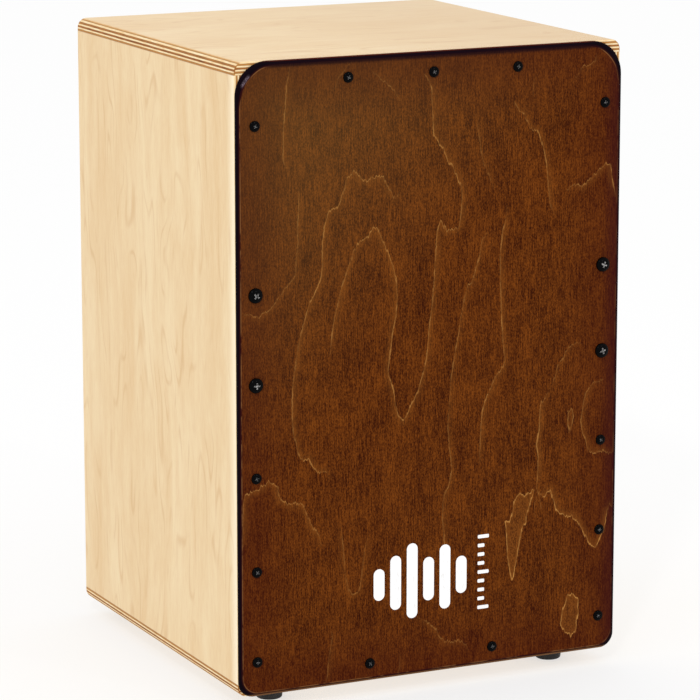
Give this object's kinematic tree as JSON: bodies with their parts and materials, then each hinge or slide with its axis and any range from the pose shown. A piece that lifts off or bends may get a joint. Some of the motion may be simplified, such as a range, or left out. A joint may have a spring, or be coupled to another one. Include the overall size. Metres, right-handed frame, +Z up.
{
  "type": "snare cajon",
  "caption": "Upright plywood box drum with a thin stained front plate on screws, snare strands behind it, a round rear sound port and rubber feet.",
  "frame": {"origin": "on the floor, under the centre of the whole object's box", "axes": "+Z up, -Y out of the front (playing) plate, +Y out of the rear sound port, +X to the right of someone who looks at the front plate"},
  "size_m": [0.3, 0.2928, 0.459],
  "materials": {
    "natural_birch": "satin clear lacquer",
    "stained_birch": "satin, stained brown",
    "batten_wood": "planed, unfinished",
    "black_screw": "semi-gloss black",
    "zinc_steel": "zinc plated",
    "snare_wire": "drawn, bright",
    "white_print": "screen print",
    "rubber": "moulded, matt"
  },
  "bodies": {
    "root": {"top_panel": "natural_birch", "bottom_panel": "natural_birch", "left_side_panel": "natural_birch", "right_side_panel": "natural_birch", "back_panel": "natural_birch", "front_plate": "stained_birch", "front_batten_left": "batten_wood", "front_batten_right": "batten_wood", "front_batten_top": "batten_wood", "front_batten_bottom": "batten_wood", "rear_batten_left": "batten_wood", "rear_batten_right": "batten_wood", "rear_batten_top": "batten_wood", "rear_batten_bottom": "batten_wood", "glue_block_top_left": "batten_wood", "glue_block_top_right": "batten_wood", "glue_block_bottom_left": "batten_wood", "glue_block_bottom_right": "batten_wood", "snare_crossbar": "batten_wood", "plate_screws_small": "black_screw", "plate_screws_large": "black_screw", "crossbar_screws": "zinc_steel", "snare_clamp_screws": "zinc_steel", "snare_clamp_left": "zinc_steel", "snare_clamp_right": "zinc_steel", "foot_washers": "zinc_steel", "foot_screws": "zinc_steel", "snare_strands_left": "snare_wire", "snare_strands_right": "snare_wire", "foot_front_left": "rubber", "foot_front_right": "rubber", "foot_rear_left": "rubber", "foot_rear_right": "rubber"}
  },
  "joints": []
}
